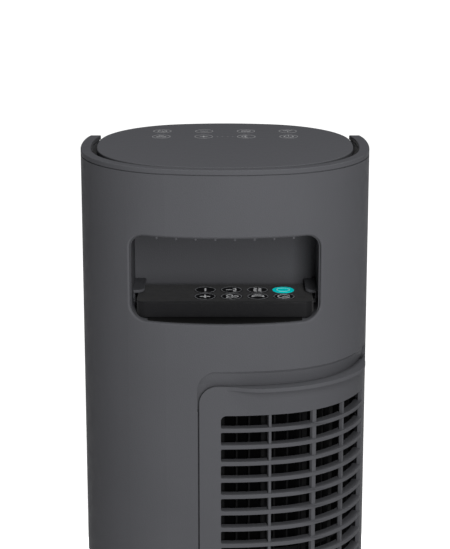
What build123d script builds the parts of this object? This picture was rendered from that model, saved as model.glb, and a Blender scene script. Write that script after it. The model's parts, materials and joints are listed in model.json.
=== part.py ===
from build123d import *
import os
from math import acos, cos, hypot, pi, radians, sin, sqrt, tan

# Tower fan, millimetres, +Z up.  The origin is the middle of the base on the floor.
# -Y is the back, with the remote dock and the intake panel; +Y is the front, with the air outlet.

# ---- driving dimensions -------------------------------------------------------------------
HEIGHT = 900.0                 # floor to the top of the rim
WALL = 3.0                     # rear shell wall
SKIN = 2.5                     # front shell and liner walls
GAP = 0.3                      # smallest clearance between bodies that move past each other

# An oval is eight tangent arcs: half width, half depth, and the radii of the face, shoulder and side.
SHELL_OVAL = (105.0, 93.8, 195.5, 79.9, 188.2)
CORE_OVAL = (93.3, 84.3, 172.7, 71.6, 165.4)

# Base and swivel
FOOT_HEIGHT = 3.0
BASE_R = 150.0
BASE_TOP = 26.0
PEDESTAL_R = 60.0
PEDESTAL_TOP = 30.0
TOWER_FOOT = 31.5              # underside of everything that swivels
POST_R = 12.0
MODULE = 1.25
SUN_TEETH = 48
PINION_TEETH = 12
GEAR_SPACING = MODULE * (SUN_TEETH + PINION_TEETH) / 2 + 0.1
GEAR_LOW = 32.0
GEAR_HIGH = 40.0
TURNTABLE_Z = (44.0, 50.0)

# Rear shell
SHELL_END_Y = 34.3             # the rear shell's two ends are cut flat here
RIM_WIDTH = 7.5
RIM_HEIGHT = 3.3
SEAM = 0.7

# Remote dock, in the back of the shell
DOCK_TOP = HEIGHT - 47.6
DOCK_FLOOR = HEIGHT - 109.6
DOCK_HALF = 66.4
DOCK_BACK_Y = -25.8

# Remote
REMOTE_L = 124.2
REMOTE_W = 45.4
REMOTE_H = 11.0
REMOTE_TOP = HEIGHT - 97.4
REMOTE_Y = -55.0
REMOTE_WALL = 1.5
BUTTON_R = 7.7
BUTTON_X = (-14.1, 4.6, 23.3, 41.7)
BUTTON_Y = (-47.5, -64.4)      # back row, front row
BUTTON_TRAVEL = 0.8

# Intake panel
PANEL_LEFT_X = -18.1
PANEL_RIGHT_Y = -20.0
PANEL_TOP = HEIGHT - 154.6
PANEL_BOTTOM = 116.0
PANEL_CORNER_R = 13.0
PANEL_GAP = 1.1
PANEL_LEDGE = 4.0              # how far the shell's seat reaches in behind the panel
BAND_TOP = HEIGHT - 143.5      # where the hollowed finger band above the panel starts
BAND_STEP = (2.0, 1.6)         # height and depth of the band's steep upper part
BAND_DEPTH = 3.0
SLOT_TOP = HEIGHT - 176.1
SLOT_PITCH = 12.48
SLAT = 2.95                    # height of one slat
SLAT_DEPTH = 6.2
SLOT_COUNT = 46
SLOT_ANGLES = (-1.8, 70.6)     # from straight back towards +X
RIBS = ((19.4, 1.8), (38.4, 3.1), (53.8, 1.8))   # angle, width
RIB_DEPTH = 3.2
LIP_REACH = 6.0
LIP_HEIGHT = 2.7
LIP_ANGLES = (-1.5, 16.5, 60.0, 78.5)   # start, full reach, full reach, end
FILTER_DEPTH = (11.0, 15.0)    # front and back of the filter frame, under the shell's surface
CLOTH = 0.8

# Fan
FAN_AXIS = (8.0, -6.0)
FAN_R = 49.0
FAN_Z = (158.0, HEIGHT - 137.0)
FAN_BLADES = 30
FAN_DISCS = 7
DUCT_FLOOR_Z = (150.0, 153.0)
DUCT_ROOF_Z = (HEIGHT - 131.0, HEIGHT - 128.0)
SHAFT_R = 4.0

# Air outlet in the front shell
OUTLET_HALF = 52.0
OUTLET_Z = (166.0, HEIGHT - 140.0)
OUTLET_R = 12.0


# ---- helpers ------------------------------------------------------------------------------
def oval_face(oval, grow=0.0):
    """An oval of eight tangent arcs, offset outwards by grow."""
    half_width, half_depth, r_face, r_shoulder, r_side = oval
    face_centre = Vector(0, half_depth - r_face)
    side_centre = Vector(half_width - r_side, 0)
    to_side = side_centre - face_centre
    spacing = to_side.length
    reach_face = r_face - r_shoulder
    reach_side = r_side - r_shoulder
    along = (reach_face**2 - reach_side**2 + spacing**2) / (2 * spacing)
    across = sqrt(reach_face**2 - along**2)
    ahead = to_side.normalized()
    shoulder = face_centre + ahead * along + Vector(ahead.Y, -ahead.X) * across
    u_face = (shoulder - face_centre).normalized()
    u_side = (shoulder - side_centre).normalized()
    a = face_centre + u_face * (r_face + grow)
    m = shoulder + (u_face + u_side).normalized() * (r_shoulder + grow)
    b = side_centre + u_side * (r_side + grow)
    edges = [
        ThreePointArc((-a.X, a.Y), (0, half_depth + grow), (a.X, a.Y)),
        ThreePointArc((a.X, a.Y), (m.X, m.Y), (b.X, b.Y)),
        ThreePointArc((b.X, b.Y), (half_width + grow, 0), (b.X, -b.Y)),
        ThreePointArc((b.X, -b.Y), (m.X, -m.Y), (a.X, -a.Y)),
        ThreePointArc((a.X, -a.Y), (0, -half_depth - grow), (-a.X, -a.Y)),
        ThreePointArc((-a.X, -a.Y), (-m.X, -m.Y), (-b.X, -b.Y)),
        ThreePointArc((-b.X, -b.Y), (-half_width - grow, 0), (-b.X, b.Y)),
        ThreePointArc((-b.X, b.Y), (-m.X, m.Y), (-a.X, a.Y)),
    ]
    return make_face(edges)


def prism(face, low, high):
    """A face at z = 0 made solid from low to high."""
    return Pos(0, 0, low) * extrude(face, high - low, dir=(0, 0, 1))


def oval(shape, grow, low, high):
    return prism(oval_face(shape, grow), low, high)


def oval_ring(shape, outer, inner, low, high):
    return prism(oval_face(shape, outer) - oval_face(shape, inner), low, high)


def block(x0, x1, y0, y1, z0, z1):
    """A box by its six limits."""
    return Pos((x0 + x1) / 2, (y0 + y1) / 2, (z0 + z1) / 2) * Box(x1 - x0, y1 - y0, z1 - z0)


def disc(x, y, radius, low, high):
    return Pos(x, y, (low + high) / 2) * Cylinder(radius, high - low)


def tube(x, y, outer, inner, low, high):
    return disc(x, y, outer, low, high) - disc(x, y, inner, low, high)


def back_prism(x0, x1, z0, z1, radii, y0=-200.0, y1=0.0):
    """A window seen from the back: X by Z, with radii at (x0 z1), (x1 z1), (x1 z0), (x0 z0)."""
    return rounded_prism(x0, x1, z0, z1, radii, Plane.XZ, -y1, -y0)


def side_prism(y0, y1, z0, z1, radii, x0=0.0, x1=200.0):
    """A window seen from the side: Y by Z, with radii at (y0 z1), (y1 z1), (y1 z0), (y0 z0)."""
    return rounded_prism(y0, y1, z0, z1, radii, Plane.YZ, x0, x1)


def rounded_prism(u0, u1, v0, v1, radii, plane, start, end):
    middle = ((u0 + u1) / 2, (v0 + v1) / 2)
    face = Pos(*middle) * Rectangle(u1 - u0, v1 - v0)
    corners = ((u0, v1), (u1, v1), (u1, v0), (u0, v0))
    for corner, radius in zip(corners, radii):
        if radius > 0:
            nearest = face.vertices().sort_by_distance((*corner, 0))[0]
            face = fillet(nearest, radius)
    return plane * (Pos(0, 0, start) * extrude(face, end - start, dir=(0, 0, 1)))


def sector(angle0, angle1, low, high, reach=260.0):
    """A wedge about the Z axis; angles are measured from straight back (-Y) towards +X."""
    def at(angle):
        return (reach * sin(radians(angle)), -reach * cos(radians(angle)))
    middle = (angle0 + angle1) / 2
    return prism(make_face(Polyline((0, 0), at(angle0), at(middle), at(angle1), close=True)), low, high)


def rib(angle, width, shape, outer, inner, low, high):
    """A vertical bar between two offsets of an oval, at one angle from straight back."""
    bar = Rot(0, 0, angle) * block(-width / 2, width / 2, -200, -20, low, high)
    return bar & oval_ring(shape, outer, inner, low, high)


def screws(points, radius, low, high, head=2.2, head_height=1.6):
    """Identical vertical screws; each is a shank under a head, its tip pointing up."""
    one = disc(0, 0, radius, low + head_height, high) + disc(0, 0, head, low, low + head_height)
    return Compound([Pos(x, y, 0) * one for x, y in points])


def gear_face(teeth, backlash):
    """A 20 degree involute spur gear of the driving module; a tooth is centred on +X."""
    pitch_r = MODULE * teeth / 2
    base_r = pitch_r * cos(radians(20))
    tip_r = pitch_r + MODULE
    root_r = pitch_r - 1.25 * MODULE

    def half_angle(r):
        def involute(radius):
            roll = acos(min(1.0, base_r / radius))
            return tan(roll) - roll
        return (pi * MODULE / 2 - backlash) / (2 * pitch_r) + involute(pitch_r) - involute(max(r, base_r))

    steps = 4
    start = max(base_r, root_r)
    flank = [start + (tip_r - start) * i / steps for i in range(steps + 1)]
    points = []
    for tooth in range(teeth):
        centre = 2 * pi * tooth / teeth
        root_half = half_angle(start)
        points.append((root_r, centre - root_half))
        points += [(r, centre - half_angle(r)) for r in flank if r > root_r]
        points += [(r, centre + half_angle(r)) for r in reversed(flank) if r > root_r]
        points.append((root_r, centre + root_half))
    return make_face(Polyline(*[(r * cos(t), r * sin(t)) for r, t in points], close=True))


# ---- base ---------------------------------------------------------------------------------
def make_base():
    """Everything that stays still on the floor."""
    foot_circle = 132.0
    feet = [Rot(0, 0, 60 * i + 30) * disc(foot_circle, 0, 10, 0, FOOT_HEIGHT) for i in range(6)]
    plate = disc(0, 0, BASE_R - 4.3, FOOT_HEIGHT, FOOT_HEIGHT + 3)
    screw_circle = 84.0
    screw_points = [(screw_circle * cos(radians(60 * i)), screw_circle * sin(radians(60 * i)))
                    for i in range(6)]
    for x, y in screw_points:
        plate -= disc(x, y, 2.0, 0, 10)

    # The cover is turned: a rim, a rounded shoulder, a gently sloping top and a low pedestal.
    def section(inset):
        rim_r = BASE_R - inset
        top = BASE_TOP - inset
        low = FOOT_HEIGHT + 1 - (0 if inset == 0 else 1)
        shoulder = 11.0 - inset
        with_pedestal = PEDESTAL_R - inset
        rim_top = top - 3.0
        line = Polyline((0, low), (rim_r, low), (rim_r, rim_top - shoulder))
        arc = JernArc(line @ 1, (0, 1), shoulder, 82)
        slope_end = (with_pedestal + 8, top)
        rest = Polyline(arc @ 1, slope_end, (with_pedestal, top + 0.6),
                        (with_pedestal, PEDESTAL_TOP - inset), (0, PEDESTAL_TOP - inset), (0, low))
        return revolve(Plane.XZ * make_face([*line.edges(), arc, *rest.edges()]), Axis.Z)
    cover = section(0) - section(SKIN)
    cover -= disc(0, 0, POST_R + 0.02, 20, 40)
    for x, y in screw_points:
        cover += tube(x, y, 5, 1.5, FOOT_HEIGHT + 3, BASE_TOP - 2.0)
    inlet_half = 12.5
    inlet_low = 6.5
    inlet_high = 19.5
    inlet_face = -BASE_R + 3.5
    cover -= block(-inlet_half - 0.1, inlet_half + 0.1, -BASE_R - 2, inlet_face + 20,
                   inlet_low - 0.1, inlet_high + 0.1)
    inlet = block(-inlet_half, inlet_half, inlet_face, inlet_face + 17, inlet_low, inlet_high)
    inlet = fillet(inlet.edges().filter_by(Axis.Y), 2.5)
    middle = (inlet_low + inlet_high) / 2
    socket = extrude(Plane.XZ * SlotOverall(17, 8.2), 13)
    socket = Pos(0, inlet_face + 13 - socket.bounding_box().max.Y, middle) * socket
    inlet -= socket
    pins = [Pos(x, inlet_face + 8.5, middle) * Rot(90, 0, 0) * Cylinder(1.2, 13) for x in (-4.3, 4.3)]
    for pin in pins:
        inlet -= pin

    post = tube(0, 0, POST_R, POST_R - 3, FOOT_HEIGHT + 3, 60)
    post += tube(0, 0, 22, POST_R, FOOT_HEIGHT + 3, FOOT_HEIGHT + 6)
    sun = prism(gear_face(SUN_TEETH, 0.12), GEAR_LOW, GEAR_HIGH) - disc(0, 0, POST_R + 0.02, 0, 60)
    sun += tube(0, 0, 24, POST_R + 0.02, PEDESTAL_TOP, GEAR_LOW)
    washer = tube(0, 0, 28, POST_R + 0.05, GEAR_HIGH, TURNTABLE_Z[0] - GAP)
    clip = tube(0, 0, 17, POST_R + 0.05, TURNTABLE_Z[1] + 4 + GAP, TURNTABLE_Z[1] + 6)
    ballast = tube(0, 0, 128, 96, FOOT_HEIGHT + 3, FOOT_HEIGHT + 11)
    ballast -= block(-30, 30, -160, -60, 0, 40)
    return {
        "rubber_feet": Compound(feet),
        "base_plate": plate,
        "base_cover": cover,
        "base_screws": screws(screw_points, 1.5, FOOT_HEIGHT - 1.6, 18),
        "ballast_weight": ballast,
        "mains_inlet": inlet,
        "inlet_pins": Compound(pins),
        "pivot_post": post,
        "swivel_gear": sun,
        "thrust_washer": washer,
        "retaining_ring": clip,
    }


# ---- swivel drive -------------------------------------------------------------------------
def make_swivel_drive():
    """The pinion and its shaft turn; the turntable, the motor and the lower cap ride with the tower."""
    tooth_turn = 180 / PINION_TEETH
    pinion = Rot(0, 0, tooth_turn) * prism(gear_face(PINION_TEETH, 0.12), GEAR_LOW + 0.5, GEAR_HIGH - 0.5)
    pinion -= disc(0, 0, 2.5, 0, 60)
    shaft = disc(0, 0, 2.5, GEAR_LOW + 0.5, 62)
    place = Pos(GEAR_SPACING, 0, 0)
    low, high = TURNTABLE_Z
    turntable = disc(0, 0, 57, low, high) + disc(0, 0, POST_R + 7, high, high + 4)
    turntable -= disc(0, 0, POST_R + 0.05, 0, 60)
    turntable -= disc(GEAR_SPACING, 0, 4, 0, 60)
    bolt_points = [(53 * cos(radians(a)), 53 * sin(radians(a))) for a in (45, 135, 225, 315)]
    for x, y in bolt_points:
        turntable -= disc(x, y, 1.8, 0, 60)
    motor = disc(0, 0, 17.5, high, high + 20) - disc(0, 0, 2.55, high, 62.5)
    motor -= disc(-GEAR_SPACING, 0, POST_R + 7.5, 0, 100)

    rear_part = oval(SHELL_OVAL, -WALL, TOWER_FOOT, TOWER_FOOT + 3) & block(-120, 120, -120, 31, 0, 60)
    cap = rear_part + oval(CORE_OVAL, -SKIN, TOWER_FOOT, TOWER_FOOT + 3)
    cap -= disc(0, 0, 49, 0, 60)
    cap += tube(0, 0, 57, 49, TOWER_FOOT, low)
    cap -= oval_ring(CORE_OVAL, 0.1, -SKIN, 0, 60) & block(-120, 120, -0.1, 120, 0, 60)
    cap += block(-74.4, -72, -40, 28, TOWER_FOOT + 3, 60)
    for x, y in bolt_points:
        cap -= disc(x, y, 1.4, 36, 60)
    return {
        "swivel_pinion": place * pinion,
        "pinion_shaft": place * shaft,
        "turntable": turntable,
        "swivel_motor": place * motor,
        "lower_cap": cap,
        "turntable_screws": Compound([Rot(180, 0, 0) * s for s in
                                      screws(bolt_points, 1.4, -high - 1.6, -37).solids()]),
    }


# ---- rear shell with its dock and intake openings -------------------------------------------
def keep_behind(solid, y=SHELL_END_Y):
    return solid & block(-200, 200, -200, y, -10, HEIGHT + 10)


def panel_prism(grow, top, corner):
    """The outline of the intake panel, as two crossed prisms that share its height."""
    left = PANEL_LEFT_X - grow
    right = PANEL_RIGHT_Y + grow
    bottom = PANEL_BOTTOM - grow
    from_back = back_prism(left, 300, bottom, top, (corner, 1, 1, corner))
    from_side = side_prism(-300, right, bottom, top, (1, corner, corner, 1), x0=-60, x1=260)
    return from_back & from_side


def make_shell():
    flange_z = HEIGHT - RIM_HEIGHT - SEAM
    wall = keep_behind(oval_ring(SHELL_OVAL, 0, -WALL, TOWER_FOOT, flange_z))
    wall += keep_behind(oval_ring(SHELL_OVAL, 0, -RIM_WIDTH, flange_z - 9, flange_z))
    end_strip = oval_ring(SHELL_OVAL, 0, -RIM_WIDTH, TOWER_FOOT, flange_z)
    wall += end_strip & block(-200, 200, SHELL_END_Y - 3, SHELL_END_Y, 0, HEIGHT)

    # Thicker frame round the intake, to carry the sloped band and the panel's seat.
    seat = oval_ring(SHELL_OVAL, -WALL, -WALL - 3.4, PANEL_BOTTOM + 10, BAND_TOP + 6)
    wall += seat & block(PANEL_LEFT_X - 6, 200, -200, PANEL_RIGHT_Y + 6, 0, HEIGHT)

    # The finger band: a cove that drops steeply under its top edge and then runs back to the panel.
    slope_low = PANEL_TOP + PANEL_GAP
    step_height, step_depth = BAND_STEP
    upper = Pos(0, 0, BAND_TOP) * oval_face(SHELL_OVAL, -0.2)
    middle = Pos(0, 0, BAND_TOP - step_height) * oval_face(SHELL_OVAL, -step_depth)
    lower = Pos(0, 0, slope_low) * oval_face(SHELL_OVAL, -BAND_DEPTH)
    taper = loft([upper, middle], ruled=True) + loft([middle, lower], ruled=True)
    taper += oval(SHELL_OVAL, -BAND_DEPTH, slope_low - 20, slope_low)
    outside = oval(SHELL_OVAL, 6, slope_low - 20, BAND_TOP) - taper
    wall -= outside & panel_prism(PANEL_GAP + 0.3, BAND_TOP, PANEL_CORNER_R + 1.5)

    # The panel's opening, with a ledge left behind its top and side edges.
    panel_layer = oval_ring(SHELL_OVAL, 10, -WALL - 0.4, PANEL_BOTTOM - 5, BAND_TOP)
    wall -= panel_layer & panel_prism(PANEL_GAP, PANEL_TOP + PANEL_GAP, PANEL_CORNER_R + 0.5)
    wall -= panel_prism(-PANEL_LEDGE, PANEL_TOP - PANEL_LEDGE, PANEL_CORNER_R - PANEL_LEDGE)

    # Dock opening, with a soft outer edge.
    wall -= back_prism(-DOCK_HALF, DOCK_HALF, DOCK_FLOOR, DOCK_TOP, (10.5, 10.5, 11.5, 11.5))
    outer_face_y = -76.0
    rim_edges = [e for e in wall.edges()
                 if DOCK_FLOOR - 1 < e.center().Z < DOCK_TOP + 1 and abs(e.center().X) < DOCK_HALF + 1
                 and e.center().Y < outer_face_y and on_oval(e, 0)]
    wall = fillet(rim_edges, 1.2)

    band = keep_behind(oval_ring(SHELL_OVAL, 0, -RIM_WIDTH, HEIGHT - RIM_HEIGHT, HEIGHT))
    band = fillet(band.edges().filter_by_position(Axis.Z, HEIGHT - 0.01, HEIGHT + 0.01), 0.7)
    band += keep_behind(oval_ring(SHELL_OVAL, -0.8, -RIM_WIDTH + 0.8, flange_z, HEIGHT - RIM_HEIGHT),
                        SHELL_END_Y - 0.8)
    return {"rear_shell": wall, "rim_trim": band}


def on_oval(edge, grow):
    """Whether an edge's middle lies on the shell's outer surface."""
    middle = edge @ 0.5
    probe = oval_face(SHELL_OVAL, grow).wire()
    return probe.distance_to(Vertex(middle.X, middle.Y, 0)) < 0.05


# ---- core: front shell, top housing and top panel ---------------------------------------------
def make_core():
    top_z = HEIGHT - 4.0
    core = oval_ring(CORE_OVAL, 0, -SKIN, TOWER_FOOT, top_z) & block(-120, 120, 0, 120, 0, HEIGHT)
    opening = back_prism(-OUTLET_HALF, OUTLET_HALF, *OUTLET_Z, (OUTLET_R,) * 4, y0=20, y1=150)
    core -= opening
    back_half = block(-120, 120, -120, -0.2, 0, HEIGHT)
    housing = oval_ring(CORE_OVAL, -0.9, -SKIN, HEIGHT - 40, top_z) & back_half
    housing += oval(CORE_OVAL, -SKIN - 0.1, HEIGHT - 26, HEIGHT - 24)
    housing += oval(CORE_OVAL, -SKIN, HEIGHT - 26, HEIGHT - 24) & back_half
    posts = [(-70, 0), (70, 0), (-40, 55), (40, 55), (-40, -50), (40, -50)]
    for x, y in posts:
        housing += disc(x, y, 3.5, HEIGHT - 24, HEIGHT - 9)
    panel = oval(CORE_OVAL, 0, HEIGHT - 3.2, HEIGHT)
    panel = fillet(panel.edges().filter_by_position(Axis.Z, HEIGHT - 0.01, HEIGHT + 0.01), 0.8)
    panel += oval(CORE_OVAL, -SKIN - 0.4, HEIGHT - 5.0, HEIGHT - 3.2)
    board = oval(CORE_OVAL, -12, HEIGHT - 9, HEIGHT - 7.4)
    leds = [disc(x, y, 2.0, HEIGHT - 7.4, HEIGHT - 5.6)
            for x in (-47.6, -15.9, 15.9, 47.6) for y in (50.4, 28.5)]
    return {
        "front_shell": core,
        "top_housing": housing,
        "top_panel": panel,
        "control_board": board,
        "indicator_leds": Compound(leds),
    }


def make_outlet():
    """The air outlet grille fills the window in the front shell with curved slats and three ribs."""
    low, high = OUTLET_Z
    clearance = 0.2
    frame_z = (low + clearance, high - clearance)
    outer = back_prism(-OUTLET_HALF + clearance, OUTLET_HALF - clearance, *frame_z,
                       (OUTLET_R - clearance,) * 4, y0=20, y1=150)
    inner = back_prism(-OUTLET_HALF + 5, OUTLET_HALF - 5, low + 5, high - 5,
                       (OUTLET_R - 5,) * 4, y0=20, y1=150)
    skin = oval_ring(CORE_OVAL, -0.4, -5.5, low, high) & block(-120, 120, 0, 120, 0, HEIGHT)
    frame = skin & (outer - inner)
    window = OUTLET_HALF - 4
    slat = oval_ring(CORE_OVAL, -0.8, -5.0, 0, 2.0) & block(-window, window, 0, 120, 0, 20)
    count = int((high - low - 20) / 9.0)
    start = (low + high) / 2 - (count - 1) * 4.5 - 1.0
    slats = [Pos(0, 0, start + 9.0 * i) * slat for i in range(count)]
    ribs = [oval_ring(CORE_OVAL, -1.6, -5.5, low + 3, high - 3) & block(x - 0.9, x + 0.9, 0, 120, 0, HEIGHT)
            for x in (-32, -16, 0, 16, 32)]
    return {"outlet_grille": frame.fuse(*slats, *ribs)}


# ---- dock -------------------------------------------------------------------------------------
def make_dock():
    half = DOCK_HALF - 1.0
    top = DOCK_TOP - 1.0
    inside = back_prism(-half, half, DOCK_FLOOR, top, (9.5, 9.5, 10, 10), y0=-200, y1=DOCK_BACK_Y)
    outside = back_prism(-half - SKIN, half + SKIN, DOCK_FLOOR - 2, top + SKIN, (12, 12, 12, 12),
                         y0=-200, y1=DOCK_BACK_Y + SKIN)
    liner = (outside - inside) & oval(SHELL_OVAL, -WALL - 0.05, 0, HEIGHT)
    pegs = []
    for i in range(8):
        x = 13.5 * (i - 3.5)
        reach = oval_depth(x) - 4.4
        pegs.append(disc(x, -reach, 0.9, top - 1.6, top + 0.5))
    liner = liner.fuse(*pegs)
    mat = block(-54, 54, -200, DOCK_BACK_Y - 2, DOCK_FLOOR + 0.05, DOCK_FLOOR + 0.9)
    mat &= oval(SHELL_OVAL, -WALL - 0.3, 0, HEIGHT)

    def rail(side):
        nose = DOCK_BACK_Y - 32
        upper = block(57.2, half, nose, DOCK_BACK_Y, HEIGHT - 96.9, HEIGHT - 94.5)
        upper = fillet(upper.edges().filter_by(Axis.Z).sort_by(Axis.Y)[:2].sort_by(Axis.X)[:1], 6)
        upper = fillet(upper.edges().filter_by_position(Axis.Y, nose - 0.01, nose + 0.01), 0.8)
        lower = block(62.9, half, nose, DOCK_BACK_Y, HEIGHT - 104.2, HEIGHT - 101.8)
        lower = fillet(lower.edges().filter_by_position(Axis.Y, nose - 0.01, nose + 0.01), 0.8)
        web = block(half - 1.2, half, DOCK_BACK_Y - 30, DOCK_BACK_Y, HEIGHT - 103.5, HEIGHT - 95.5)
        piece = (upper + lower + web) & inside
        return piece if side > 0 else mirror(piece, about=Plane.YZ)
    return {"dock_liner": liner, "dock_rails": Compound([rail(1), rail(-1)]), "dock_mat": mat}


def oval_depth(x):
    """Distance from the X axis to the shell's outer face at one X, on the face arc."""
    half_depth, r_face = SHELL_OVAL[1], SHELL_OVAL[2]
    return half_depth - r_face + sqrt(r_face**2 - x**2)


# ---- remote -----------------------------------------------------------------------------------
def make_remote():
    bottom = REMOTE_TOP - REMOTE_H

    def rounded_bar(inset, plan_r, end_r):
        """The remote's outline, inset evenly: rounded in plan and again at its two lower ends."""
        half = REMOTE_L / 2 - inset
        low = bottom + inset
        high = REMOTE_TOP - inset
        plan = Pos(0, REMOTE_Y) * RectangleRounded(2 * half, REMOTE_W - 2 * inset, plan_r)
        return prism(plan, low, high) & back_prism(-half, half, low, high, (0, 0, end_r, end_r))

    blank = rounded_bar(0, 6.0, 4.2)
    blank = fillet(blank.edges().filter_by_position(Axis.Z, REMOTE_TOP - 0.01, REMOTE_TOP + 0.01), 1.0)
    upper = blank - rounded_bar(REMOTE_WALL, 4.5, 2.7)
    opening = Pos(0, REMOTE_Y) * RectangleRounded(2 * 57, REMOTE_W - 2 * REMOTE_WALL, 3.0)
    upper -= prism(opening, bottom - 1, bottom + REMOTE_WALL + 0.1)
    cover = Pos(0, REMOTE_Y) * RectangleRounded(2 * 56.9, REMOTE_W - 2 * REMOTE_WALL - 0.2, 2.9)
    lower = prism(cover, bottom, bottom + REMOTE_WALL)
    cell_x = -38.0
    door_r = 12.5
    lower -= disc(cell_x, REMOTE_Y, door_r + 0.2, bottom - 1, bottom + REMOTE_WALL + 0.1)
    left = -REMOTE_L / 2
    window_z = (bottom + 4.8, bottom + 8.2)
    window = block(left + 0.3, left + 2.2, REMOTE_Y - 6, REMOTE_Y + 6, *window_z)
    upper -= block(left - 5, left + 5, REMOTE_Y - 6.1, REMOTE_Y + 6.1, window_z[0] - 0.1, window_z[1] + 0.1)
    pieces = {
        "remote_lower_case": lower,
        "battery_door": disc(cell_x, REMOTE_Y, door_r, bottom, bottom + REMOTE_WALL),
        "coin_cell": disc(cell_x, REMOTE_Y, 10, bottom + 2.0, bottom + 5.2),
        "remote_board": Pos(0, REMOTE_Y, bottom + 5.9) * Box(112, 36, 1.2),
        "key_mat": Pos(14, REMOTE_Y, bottom + 6.8) * Box(78, 36, 0.6),
        "ir_window": window,
    }
    names = (("minus", "swing", "mode", "power"), ("plus", "fan_speed", "night", "timer"))
    for row, y in enumerate(BUTTON_Y):
        for column, x in enumerate(BUTTON_X):
            upper -= disc(x, y, BUTTON_R + 0.25, REMOTE_TOP - 3, REMOTE_TOP + 1)
            cap = disc(x, y, BUTTON_R, REMOTE_TOP - 2.2, REMOTE_TOP + 0.2)
            cap = fillet(cap.edges().sort_by(Axis.Z)[-1:], 0.2)
            cap += disc(x, y, BUTTON_R + 0.6, REMOTE_TOP - 2.9, REMOTE_TOP - 2.0)
            pieces["button_" + names[row][column]] = cap
    pieces["remote_upper_case"] = upper
    return pieces


# ---- intake panel ------------------------------------------------------------------------------
def make_intake():
    outline = panel_prism(0, PANEL_TOP, PANEL_CORNER_R)
    blank = oval_ring(SHELL_OVAL, 0, -WALL, PANEL_BOTTOM, PANEL_TOP) & outline
    slots_low = SLOT_TOP - SLOT_PITCH * SLOT_COUNT + SLAT
    window = sector(*SLOT_ANGLES, slots_low, SLOT_TOP)
    blank -= window & oval_ring(SHELL_OVAL, 5, -10, slots_low, SLOT_TOP)
    slat_ends = (SLOT_ANGLES[0] - 0.5, SLOT_ANGLES[1] + 0.5)
    slat = oval_ring(SHELL_OVAL, 0, -SLAT_DEPTH, 0, SLAT) & sector(*slat_ends, 0, SLAT)
    slats = [Pos(0, 0, SLOT_TOP - SLOT_PITCH * i) * slat for i in range(1, SLOT_COUNT)]
    ribs = [rib(angle, width, SHELL_OVAL, -0.7, -RIB_DEPTH, slots_low - 2, SLOT_TOP + 2)
            for angle, width in RIBS]
    lip = prism(lip_face(), PANEL_TOP - LIP_HEIGHT, PANEL_TOP)
    hooks = [rib(angle, 14, SHELL_OVAL, -WALL - 0.7, -WALL - 2.7, PANEL_BOTTOM - 7, PANEL_BOTTOM + 8)
             for angle in (10, 50)]
    lugs = [rib(angle, 14, SHELL_OVAL, -1.5, -WALL - 1.7, PANEL_BOTTOM + 3, PANEL_BOTTOM + 8)
            for angle in (10, 50)]
    grille = blank.fuse(*slats, *ribs, lip, *hooks, *lugs)
    ends = [e for e in grille.edges().filter_by(GeomType.LINE)
            if abs(back_angle(e) - SLOT_ANGLES[0]) < 0.1 and slots_low - 1 < (e @ 0.5).Z < SLOT_TOP + 1
            and abs((e % 0.5).Z) < 0.1 and e.length > 2]
    corner = max(ends, key=lambda e: (e @ 0.5).Z)
    grille = fillet([e for e in ends if e is not corner], 1.2)
    corner = min(grille.edges().filter_by(GeomType.LINE), key=lambda e: ((e @ 0.5) - (corner @ 0.5)).length)
    grille = fillet(corner, 4.0)

    frame_low = slots_low - 10
    frame_high = SLOT_TOP + 8
    outer, inner = (-depth for depth in FILTER_DEPTH)
    edge0, edge1 = SLOT_ANGLES[0] - 4, SLOT_ANGLES[1] + 2
    border = oval_ring(SHELL_OVAL, outer, inner, frame_low, frame_high) \
        & (sector(edge0, edge1, frame_low, frame_high)
           - sector(edge0 + 5.5, edge1 - 3, frame_low + 8, frame_high - 8))
    bars = []
    pitch = 6.1
    angle = edge0 + 5.5 + pitch
    while angle < edge1 - 4:
        bars.append(rib(angle, 1.2, SHELL_OVAL, outer - 0.4, inner, frame_low + 4, frame_high - 4))
        angle += pitch
    bars += [rib(a, 4.0, SHELL_OVAL, outer, inner, frame_low + 4, frame_high - 4) for a, _ in RIBS]
    rails = [oval_ring(SHELL_OVAL, outer - 0.8, inner, z, z + 3) & sector(edge0 + 1, edge1 - 1, z, z + 3)
             for z in (frame_low + (frame_high - frame_low) * k / 5 for k in range(1, 5))]
    cloth = oval_ring(SHELL_OVAL, inner, inner - CLOTH, frame_low + 1, frame_high - 1) \
        & sector(edge0 + 0.5, edge1 - 0.5, frame_low + 1, frame_high - 1)
    clips = [rib(angle, width, SHELL_OVAL, -WALL, outer - 1, z, z + 6)
             for angle, width in ((edge0 + 1.4, 4), (edge1 - 1.4, 2))
             for z in (frame_low + 60, frame_high - 120, 440)]
    frame = border.fuse(*bars, *rails, *clips)
    return {"intake_grille": grille, "filter_frame": frame, "filter_cloth": cloth}


def shell_radius(angle):
    """Distance from the Z axis to the shell's outer surface at an angle from straight back."""
    ray = Edge.make_line((0, 0, 0), (200 * sin(radians(angle)), -200 * cos(radians(angle)), 0))
    hits = ray.intersect(oval_face(SHELL_OVAL).wire())
    points = hits if isinstance(hits, (list, ShapeList)) else [hits]
    point = points[0].vertices()[0]
    return hypot(point.X, point.Y)


def lip_face():
    """The plan of the pull lip: it swells out of the panel along an S curve at each end."""
    start, full, ease, end = LIP_ANGLES
    sunk = 0.3
    root = 1.5

    def smooth(t):
        t = min(1.0, max(0.0, t))
        return t * t * (3 - 2 * t)

    def at(angle, reach):
        radius = shell_radius(angle) + reach
        return (radius * sin(radians(angle)), -radius * cos(radians(angle)))

    steps = 22
    angles = [start + (end - start) * i / steps for i in range(steps + 1)]
    outer = []
    for angle in angles:
        swell = smooth((angle - start) / (full - start)) * smooth((end - angle) / (end - ease))
        outer.append(at(angle, (LIP_REACH + sunk) * swell - sunk))
    inner = [at(angle, -root) for angle in reversed(angles)]
    return make_face([Spline(*outer), Line(outer[-1], inner[0]), Spline(*inner), Line(inner[-1], outer[0])])


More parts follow.
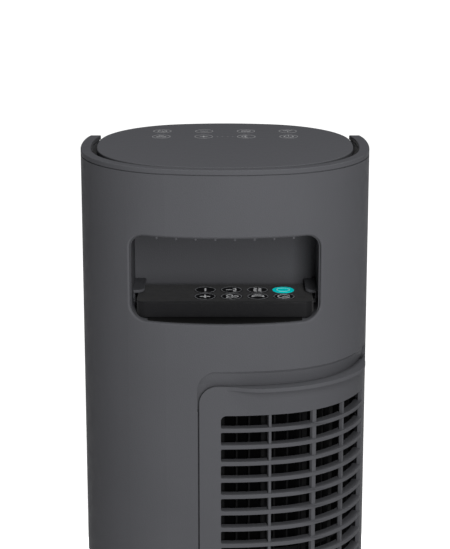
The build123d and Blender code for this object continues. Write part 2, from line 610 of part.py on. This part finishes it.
def back_angle(edge):
    """Angle of an edge's middle from straight back towards +X, in degrees."""
    middle = edge @ 0.5
    return 180 / pi * acos(-middle.Y / hypot(middle.X, middle.Y)) * (1 if middle.X >= 0 else -1)


# ---- fan: impeller, air duct and motor ----------------------------------------------------------
def make_fan():
    low, high = FAN_Z
    x, y = FAN_AXIS
    here = Pos(x, y, 0)
    inner_r = FAN_R - 11.0
    chord = FAN_R - 1.5 - inner_r
    blade_r = 9.5
    blade_arc = ThreePointArc((inner_r, 0), (inner_r + chord / 2, chord**2 / (8 * blade_r) + 0.6),
                              (FAN_R - 1.5, 2.2))
    blade = prism(trace(blade_arc, 1.2), low + 1, high - 1)
    blades = [Rot(0, 0, 360 / FAN_BLADES * i) * blade for i in range(FAN_BLADES)]
    step = (high - low - 2) / (FAN_DISCS - 1)
    rings = [tube(0, 0, FAN_R, inner_r - 2, low + step * i, low + step * i + 2)
             for i in range(1, FAN_DISCS - 1)]
    ends = [disc(0, 0, FAN_R, low, low + 2), disc(0, 0, FAN_R, high - 2, high)]
    hub = disc(0, 0, 11, low, low + 22)
    impeller = ends[0].fuse(*blades, *rings, ends[1], hub)
    impeller -= disc(0, 0, SHAFT_R, low - 1, low + 18)
    impeller -= disc(0, 0, 3.0, high - 2.5, high + 1)
    stub = disc(0, 0, 3.0, high - 2, high + 22) + disc(0, 0, 8, high - 4, high - 2)
    motor_low, motor_high = 92.0, 138.0
    shaft = disc(0, 0, SHAFT_R, motor_high - 30, low + 18)
    motor = disc(0, 0, 42, motor_low, motor_high)
    motor = fillet(motor.edges().filter_by(GeomType.CIRCLE), 4)
    motor += disc(0, 0, 12, motor_high, motor_high + 4)
    motor -= disc(0, 0, SHAFT_R + 0.05, motor_high - 30.5, 200)

    arm_points = [(47 * cos(radians(a)), 47 * sin(radians(a))) for a in (30, 150, 270)]
    grommets = []
    bracket = tube(0, 0, 45, 12.5, motor_high + 0.2, motor_high + 3)
    for px, py in arm_points:
        bracket += disc(px, py, 8, motor_high + 0.2, motor_high + 3)
        bracket -= disc(px, py, 3.2, 0, 200)
        grommets.append(tube(px, py, 6.5, 3.2, motor_high + 3, DUCT_FLOOR_Z[0]))
        grommets.append(tube(px, py, 3.2, 1.8, motor_high + 0.2, motor_high + 3))

    # Air duct: floor and roof plates, the scroll wall on the left and the tongue on the right.
    def plate(z0, z1, bore):
        behind_filter = FILTER_DEPTH[1] + CLOTH + 0.7
        rear = oval(SHELL_OVAL, -behind_filter, z0, z1) & block(-120, 120, -120, 0, 0, HEIGHT)
        whole = rear + oval(CORE_OVAL, -SKIN - 4.6, z0, z1) - here * disc(0, 0, bore, 0, HEIGHT)
        return whole - block(-90, -79, -15, -7, 0, HEIGHT)
    floor = plate(*DUCT_FLOOR_Z, 14)
    roof = plate(*DUCT_ROOF_Z, 7)
    wall_z = (DUCT_FLOOR_Z[1], DUCT_ROOF_Z[0])
    left_start = Vector(x - 22, y - FAN_R - 3)
    left_mid = Vector(x - FAN_R - 13, y - 2)
    outlet_y = 66.0
    left_end = Vector(-OUTLET_HALF + 2, outlet_y)
    left_arc = ThreePointArc(left_start, (x - FAN_R - 3, y - 28), left_mid)
    left_run = Line(left_arc @ 1, (left_end.X, left_end.Y))
    inlet_leg = Line(left_arc @ 0, (PANEL_LEFT_X - 4, -85.0))
    scroll = prism(trace([left_arc, left_run, inlet_leg], 2.2), *wall_z)
    tip = (x + FAN_R + 3, y + 18)
    tongue_line = Line(tip, (OUTLET_HALF - 1, outlet_y))
    back_leg = Line(tip, (92, -20))
    tongue = prism(trace([tongue_line, back_leg], 2.2), *wall_z) + disc(*tip, 2.2, *wall_z)
    bush = tube(0, 0, 6, 3.05, high + 10, high + 20)
    seat = tube(0, 0, 14, 6, high + 10, high + 19) + tube(0, 0, 18, 10, high + 6 + 3, high + 10)
    return {
        "impeller": here * impeller,
        "impeller_stub_shaft": here * stub,
        "motor_shaft": here * shaft,
        "fan_motor": here * motor,
        "motor_bracket": here * bracket,
        "motor_grommets": here * Compound(grommets),
        "duct_floor": floor,
        "duct_roof": roof,
        "scroll_wall": scroll,
        "air_tongue": tongue,
        "top_bush": here * bush,
        "bearing_seat": here * seat,
    }


# ---- electrics and fasteners ----------------------------------------------------------------------
def make_electrics():
    board = block(-72, -70.4, -46, 34, 56, 136)
    board += block(-70.4, -52, -38, -18, 66, 88)
    board += block(-70.4, -58, -8, 8, 66, 90)
    board += block(-70.4, -60, 14, 26, 70, 96)
    board += block(-70.4, -62, -36, 10, 104, 124)
    loom = block(-86, -82, -14, -8, 60, HEIGHT - 44)
    return {"driver_board": board, "wiring_loom": loom}


def main():
    os.makedirs("parts", exist_ok=True)
    nodes = {}
    for make in (make_base, make_swivel_drive, make_shell, make_core, make_outlet, make_dock,
                 make_remote, make_intake, make_fan, make_electrics):
        nodes.update(make())
    for name, shape in nodes.items():
        export_step(shape, f"parts/{name}.step")
    print(len(nodes), "nodes")


main()
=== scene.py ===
"""Looks for the tower fan: materials, printed icons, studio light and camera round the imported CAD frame."""

import json
import math

import bpy
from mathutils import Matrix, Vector


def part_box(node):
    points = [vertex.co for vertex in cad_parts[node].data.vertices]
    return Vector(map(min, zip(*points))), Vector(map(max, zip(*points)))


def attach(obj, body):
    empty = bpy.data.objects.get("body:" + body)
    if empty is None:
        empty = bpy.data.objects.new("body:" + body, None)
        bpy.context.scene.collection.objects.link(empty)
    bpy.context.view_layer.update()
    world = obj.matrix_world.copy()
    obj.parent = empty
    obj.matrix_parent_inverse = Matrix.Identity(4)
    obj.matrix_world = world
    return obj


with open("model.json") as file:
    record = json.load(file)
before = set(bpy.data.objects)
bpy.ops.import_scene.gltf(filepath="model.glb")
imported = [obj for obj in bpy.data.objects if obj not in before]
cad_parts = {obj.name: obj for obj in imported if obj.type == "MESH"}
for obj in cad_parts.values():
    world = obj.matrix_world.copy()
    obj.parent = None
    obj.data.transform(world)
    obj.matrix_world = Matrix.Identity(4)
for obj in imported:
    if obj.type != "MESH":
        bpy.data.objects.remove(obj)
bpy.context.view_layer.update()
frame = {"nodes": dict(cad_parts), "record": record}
nodes = frame["nodes"]
rim_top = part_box("rim_trim")[1].z


# ---- materials ----------------------------------------------------------------------------
class Graph:
    """A material's node tree, with short calls that add a node and wire it up."""

    def __init__(self, name):
        self.material = bpy.data.materials.new(name)
        self.material.use_nodes = True
        self.tree = self.material.node_tree
        self.shader = self.tree.nodes["Principled BSDF"]
        coordinates = self.tree.nodes.new("ShaderNodeTexCoord")
        self.position = coordinates.outputs["Object"]

    def link(self, source, socket):
        self.tree.links.new(source, socket)

    def noise(self, scale, detail=2.0, stretch=None):
        node = self.tree.nodes.new("ShaderNodeTexNoise")
        node.inputs["Scale"].default_value = scale
        node.inputs["Detail"].default_value = detail
        if stretch is None:
            self.link(self.position, node.inputs["Vector"])
        else:
            mapping = self.tree.nodes.new("ShaderNodeMapping")
            mapping.inputs["Scale"].default_value = stretch
            self.link(self.position, mapping.inputs["Vector"])
            self.link(mapping.outputs["Vector"], node.inputs["Vector"])
        return node.outputs["Fac"]

    def spread(self, source, low, high, from_low=0.35, from_high=0.65):
        node = self.tree.nodes.new("ShaderNodeMapRange")
        limits = {"From Min": from_low, "From Max": from_high, "To Min": low, "To Max": high}
        for name, value in limits.items():
            node.inputs[name].default_value = value
        self.link(source, node.inputs["Value"])
        return node.outputs["Result"]

    def mix(self, factor, first, second):
        node = self.tree.nodes.new("ShaderNodeMix")
        node.data_type = "RGBA"
        node.inputs["A"].default_value = (*first, 1)
        node.inputs["B"].default_value = (*second, 1)
        self.link(factor, node.inputs["Factor"])
        return node.outputs["Result"]

    def bump(self, height, distance, strength=1.0, under=None):
        node = self.tree.nodes.new("ShaderNodeBump")
        node.inputs["Distance"].default_value = distance
        node.inputs["Strength"].default_value = strength
        self.link(height, node.inputs["Height"])
        if under is not None:
            self.link(under, node.inputs["Normal"])
        return node.outputs["Normal"]


def shade(colour, amount):
    return tuple(c * amount for c in colour)


def moulded(name, colour, roughness=0.5, grain=1100, depth=0.00010, mottle=0.015, specular=0.3, sheen=0.0):
    """Moulded plastic: fine spark-eroded grain, uneven gloss, faint mottling, and sheen where given."""
    g = Graph(name)
    grain_height = g.noise(grain, 3)
    broad = g.noise(22, 2)
    g.link(g.mix(g.spread(broad, 0, 1), shade(colour, 1 - mottle), shade(colour, 1 + mottle)),
           g.shader.inputs["Base Color"])
    g.link(g.spread(g.noise(140, 3), roughness - 0.05, roughness + 0.05), g.shader.inputs["Roughness"])
    g.link(g.bump(grain_height, depth), g.shader.inputs["Normal"])
    g.shader.inputs["Specular IOR Level"].default_value = specular
    g.shader.inputs["Sheen Weight"].default_value = sheen
    return g.material


def metal(name, colour, roughness=0.3, stretch=(1, 1, 40), scale=60):
    """Machined or rolled metal with fine directional marks."""
    g = Graph(name)
    marks = g.noise(scale, 4, stretch)
    g.link(g.mix(g.spread(marks, 0, 1), shade(colour, 0.85), shade(colour, 1.08)),
           g.shader.inputs["Base Color"])
    g.link(g.spread(marks, roughness - 0.08, roughness + 0.1), g.shader.inputs["Roughness"])
    g.link(g.bump(marks, 0.00002), g.shader.inputs["Normal"])
    g.shader.inputs["Metallic"].default_value = 1.0
    return g.material


CHARCOAL = (0.0432, 0.0437, 0.0475)
MATT = 0.01                        # specular level of the light-scattering moulded skin
materials = {
    "shell_charcoal": moulded("shell_charcoal", CHARCOAL, 0.52, specular=MATT),
    "panel_charcoal": moulded("panel_charcoal", CHARCOAL, 0.5, specular=MATT),
    # top_charcoal is the shell's charcoal painted 8% lighter: painted light that makes up for the weaker
    # light falling on the upward-facing top panel.
    "top_charcoal": moulded("top_charcoal", shade(CHARCOAL, 1.08), 0.46, mottle=0.0, specular=MATT),
    "inner_black": moulded("inner_black", (0.006, 0.006, 0.0065), 0.6, specular=0.2),
    "filter_black": moulded("filter_black", (0.0028, 0.0028, 0.003), 0.6, specular=0.04),
    "filter_cloth": moulded("filter_cloth", (0.0012, 0.0012, 0.0013), 0.9, grain=2500, specular=0.0),
    "remote_black": moulded("remote_black", (0.0050, 0.0050, 0.0055), 0.34, specular=0.03, sheen=0.055),
    "button_black": moulded("button_black", (0.004, 0.004, 0.0045), 0.5, specular=0.06),
    "button_teal": moulded("button_teal", (0.001, 0.66, 0.66), 0.5, specular=0.0),
    "ir_black": moulded("ir_black", (0.006, 0.003, 0.004), 0.08, depth=0.0),
    "impeller_grey": moulded("impeller_grey", (0.03, 0.03, 0.032), 0.5),
    "gear_acetal": moulded("gear_acetal", (0.70, 0.69, 0.64), 0.4),
    "rubber_black": moulded("rubber_black", (0.004, 0.004, 0.004), 0.75, grain=900, specular=0.02),
    "steel": metal("steel", (0.55, 0.55, 0.56), 0.25),
    "plated_steel": metal("plated_steel", (0.45, 0.45, 0.46), 0.4),
    "cast_weight": moulded("cast_weight", (0.05, 0.05, 0.052), 0.7, grain=500, depth=0.0003),
    "brass": metal("brass", (0.62, 0.45, 0.2), 0.25),
    "board_green": moulded("board_green", (0.015, 0.10, 0.04), 0.35, depth=0.00002),
    "led_white": moulded("led_white", (0.8, 0.82, 0.85), 0.2, depth=0.0),
    "cell_steel": metal("cell_steel", (0.6, 0.6, 0.6), 0.25),
    "wire_grey": moulded("wire_grey", (0.05, 0.05, 0.055), 0.6),
}
for part in frame["record"]["subparts"]:
    mesh = nodes[part["node"]].data
    mesh.materials.clear()
    mesh.materials.append(materials[part["material_slot"]])


# ---- printed icons ------------------------------------------------------------------------
MM = 0.001
INK_HEIGHT = 0.00005


class Print:
    """Thin printed marks on a level surface, drawn in millimetres about one centre."""

    def __init__(self, name, material, body, place, turn=0.0, scale=1.0):
        self.name, self.material, self.body = name, material, body
        self.place, self.turn, self.scale = Vector(place), math.radians(turn), scale * MM
        self.verts, self.faces = [], []

    def at(self, x, y, top):
        c, s = math.cos(self.turn), math.sin(self.turn)
        spot = self.place + Vector(((x * c - y * s) * self.scale, (x * s + y * c) * self.scale, 0))
        return spot + Vector((0, 0, INK_HEIGHT if top else -INK_HEIGHT))

    def stroke(self, points, width, closed=False):
        """A ribbon of one width along the points; each cross-section is left, right, below."""
        count = len(points)
        first = len(self.verts)
        for i, (x, y) in enumerate(points):
            before = points[(i - 1) % count] if closed or i else points[i]
            after = points[(i + 1) % count] if closed or i < count - 1 else points[i]
            dx, dy = after[0] - before[0], after[1] - before[1]
            length = math.hypot(dx, dy) or 1.0
            nx, ny = -dy / length * width / 2, dx / length * width / 2
            self.verts += [self.at(x + nx, y + ny, True), self.at(x - nx, y - ny, True),
                           self.at(x - nx, y - ny, False), self.at(x + nx, y + ny, False)]
        for i in range(count if closed else count - 1):
            a = first + 4 * i
            b = first + 4 * ((i + 1) % count)
            for side in range(4):
                other = (side + 1) % 4
                self.faces.append((a + side, b + side, b + other, a + other))
        if not closed:
            last = first + 4 * (count - 1)
            self.faces += [(first, first + 1, first + 2, first + 3), (last + 3, last + 2, last + 1, last)]

    def line(self, x0, y0, x1, y1, width=0.7):
        self.stroke([(x0, y0), (x1, y1)], width)

    def arc(self, radius, start, end, width=0.7, x=0.0, y=0.0, stretch=1.0):
        steps = max(6, int(abs(end - start) / 9))
        points = [(x + radius * math.cos(math.radians(start + (end - start) * i / steps)),
                   y + stretch * radius * math.sin(math.radians(start + (end - start) * i / steps)))
                  for i in range(steps + 1)]
        if abs(end - start) >= 360:
            self.stroke(points[:-1], width, closed=True)
        else:
            self.stroke(points, width)

    def dot(self, x, y, radius):
        self.arc(radius / 2, 0, 360, radius, x, y)

    def finish(self):
        mesh = bpy.data.meshes.new(self.name)
        mesh.from_pydata(self.verts, [], self.faces)
        mesh.materials.append(self.material)
        mesh.update()
        piece = bpy.data.objects.new(self.name, mesh)
        bpy.context.scene.collection.objects.link(piece)
        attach(piece, self.body)
        return piece


def draw_minus(ink):
    ink.line(-3.0, 0, 3.0, 0, 0.9)


def draw_plus(ink):
    draw_minus(ink)
    ink.line(0, -3.0, 0, -0.45, 0.9)
    ink.line(0, 0.45, 0, 3.0, 0.9)


def draw_power(ink):
    ink.arc(3.4, 120, 420, 0.8)
    ink.line(0, 1.0, 0, 4.4, 0.8)


def draw_moon(ink):
    ink.arc(3.3, 70, 290, 0.7)
    ink.arc(3.3, 118, 242, 0.7, x=2.3)


def draw_timer(ink):
    ink.arc(3.4, 110, 430, 0.7)
    ink.line(0, 0, 0, 2.2)
    ink.line(0, 0, 1.6, -1.0)


def draw_fan(ink):
    for turn in (90, 210, 330):
        x, y = 2.1 * math.cos(math.radians(turn)), 2.1 * math.sin(math.radians(turn))
        ink.arc(1.6, turn - 150, turn + 120, 0.65, x, y)
    ink.dot(0, 0, 0.6)


def draw_wave(ink):
    """Two rolling lines: the breeze mode."""
    for y in (-1.3, 1.3):
        ink.stroke([(x * 0.5, y + 0.9 * math.sin(x * 1.1)) for x in range(-7, 8)], 0.7)


def draw_swing(ink):
    """An arc with an arrowhead at each end over a short stem: side to side."""
    ink.arc(4.2, 40, 140, 0.65, y=-1.6)
    for side in (-1, 1):
        tip = (side * 3.2, 1.1)
        ink.line(*tip, tip[0] - side * 0.2, tip[1] + 1.7)
        ink.line(*tip, tip[0] - side * 1.9, tip[1] + 0.2)
    ink.line(0, -3.2, 0, 0.4)


def printed(name, colour, roughness=0.45):
    g = Graph(name)
    g.link(g.mix(g.spread(g.noise(900, 2), 0, 1), shade(colour, 0.92), colour),
           g.shader.inputs["Base Color"])
    g.shader.inputs["Roughness"].default_value = roughness
    return g.material


def print_top_panel():
    """Eight touch icons in rings, with four speed dots between the middle pair."""
    ink_colour = printed("top_ink", (0.21, 0.21, 0.215))
    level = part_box("top_panel")[1].z
    front_row, rear_row = 50.4, 28.5
    columns = (-47.6, -15.9, 15.9, 47.6)
    dot_pitch = 3.8
    rows = ((front_row, (draw_timer, draw_minus, draw_wave, draw_swing)),
            (rear_row, (draw_fan, draw_plus, draw_moon, draw_power)))
    for row, (y, glyphs) in enumerate(rows):
        for column, (x, glyph) in enumerate(zip(columns, glyphs)):
            ink = Print(f"top_icon_{row}_{column}", ink_colour, "tower", (x * MM, y * MM, level))
            ink.arc(6.6, 0, 360, 0.4)
            glyph(ink)
            ink.finish()
    dots = Print("speed_dots", ink_colour, "tower", (0, rear_row * MM, level))
    for i in range(4):
        dots.dot(dot_pitch * (i - 1.5), 0, 0.4)
    dots.finish()


def print_keys():
    """An icon on each remote key, turned to read from the remote's left end, and on each but power a lighter
    ring: a painted highlight where the key's edge would catch the light.
    """
    glyph_ink = printed("key_ink", (0.55, 0.56, 0.57))
    # Painted highlight: the thin lighter ring at each key's edge stands in for light caught by the key's rim,
    # not for printed ink.
    edge_highlight_ink = printed("key_edge_highlight", (0.20, 0.205, 0.215), 0.35)
    power_ink = printed("power_ink", (0.35, 0.80, 0.76))
    ring_radius, ring_width = 7.15, 0.5
    icon_scale = 1.25
    glyphs = {"minus": draw_minus, "plus": draw_plus, "swing": draw_swing, "fan_speed": draw_fan,
              "mode": draw_wave, "night": draw_moon, "timer": draw_timer, "power": None}
    for name, glyph in glyphs.items():
        body = "button_" + name
        low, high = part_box(body)
        middle = ((low.x + high.x) / 2, (low.y + high.y) / 2, high.z)
        if glyph:
            # painted highlight ring round the key's edge
            ring = Print("key_edge_highlight_" + name, edge_highlight_ink, body, middle)
            ring.arc(ring_radius, 0, 360, ring_width)
            ring.finish()
            ink = Print("key_icon_" + name, glyph_ink, body, middle, -90, icon_scale)
            glyph(ink)
        else:
            ink = Print("key_icon_" + name, power_ink, body, middle, -90)
            ink.arc(4.5, 0, 360, 0.7)
        ink.finish()


print_top_panel()
print_keys()


# ---- studio: floor, light and camera ------------------------------------------------------
def make_floor():
    size = 40.0
    mesh = bpy.data.meshes.new("floor")
    corners = [(-size, -size, 0), (size, -size, 0), (size, size, 0), (-size, size, 0)]
    mesh.from_pydata([Vector(c) for c in corners], [], [(0, 1, 2, 3)])
    floor = bpy.data.objects.new("floor", mesh)
    bpy.context.scene.collection.objects.link(floor)
    g = Graph("floor_paper")
    g.link(g.mix(g.spread(g.noise(3, 2), 0, 1), (0.84, 0.84, 0.84), (0.86, 0.86, 0.86)),
           g.shader.inputs["Base Color"])
    g.shader.inputs["Roughness"].default_value = 0.9
    g.shader.inputs["Specular IOR Level"].default_value = 0.1
    mesh.materials.append(g.material)


def aim(thing, target):
    thing.rotation_mode = "QUATERNION"
    thing.rotation_quaternion = (Vector(target) - thing.location).to_track_quat("-Z", "Y")


def add_light(name, kind, place, target, energy, size=None, colour=(1, 1, 1)):
    data = bpy.data.lights.new(name, kind)
    data.energy = energy
    data.color = colour
    if kind == "AREA":
        data.shape = "RECTANGLE"
        data.size, data.size_y = size
    else:
        data.angle = size
    light = bpy.data.objects.new(name, data)
    light.location = place
    bpy.context.scene.collection.objects.link(light)
    aim(light, target)


def light_studio():
    world = bpy.data.worlds.new("studio")
    world.use_nodes = True
    background = world.node_tree.nodes["Background"]
    background.inputs["Color"].default_value = (1, 1, 1, 1)
    background.inputs["Strength"].default_value = 0.03
    bpy.context.scene.world = world
    middle = (0, 0, rim_top * 0.8)
    add_light("front", "AREA", (0.22, -1.0, 1.12), middle, 20, (0.3, 1.1))
    add_light("rear_fill", "AREA", (-0.05, 1.35, 0.2), (0, 0, 0.45), 15, (0.3, 0.3))
    add_light("overhead", "SUN", (0.1, -0.1, 3.0), middle, 4.1, math.radians(35))


def make_camera():
    """High behind the fan, tilted down at the dock and the top of the intake panel."""
    data = bpy.data.cameras.new("camera")
    data.lens = 110.0
    data.shift_y = -0.1
    pitch = math.radians(13.62)
    camera = bpy.data.objects.new("camera", data)
    camera.location = (0, -1.205, rim_top + 0.235)
    camera.rotation_euler = (math.pi / 2 - pitch, 0, 0)
    bpy.context.scene.collection.objects.link(camera)
    bpy.context.scene.camera = camera


make_floor()
light_studio()
make_camera()
bpy.context.scene.view_settings.view_transform = "Standard"
